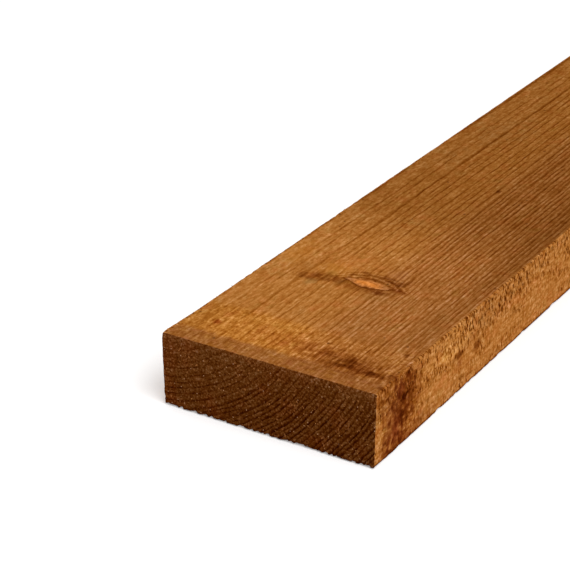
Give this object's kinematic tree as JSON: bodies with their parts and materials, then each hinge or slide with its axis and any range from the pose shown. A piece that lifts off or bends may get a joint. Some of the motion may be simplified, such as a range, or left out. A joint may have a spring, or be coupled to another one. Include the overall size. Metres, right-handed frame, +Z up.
{
  "type": "douglas fir beam",
  "caption": "Rough-sawn rectangular timber beam, one solid length of brown-treated softwood with square-cut ends, lying on its broad face.",
  "frame": {"origin": "middle of the lower broad face", "axes": "+Y along the grain, away from the shown end; +X across the broad face; +Z up through the thickness"},
  "size_m": [0.15, 2.5, 0.05],
  "materials": {
    "treated_wood": "rough-sawn, brown pressure-treated, matt"
  },
  "bodies": {
    "root": {"beam": "treated_wood"}
  },
  "joints": []
}
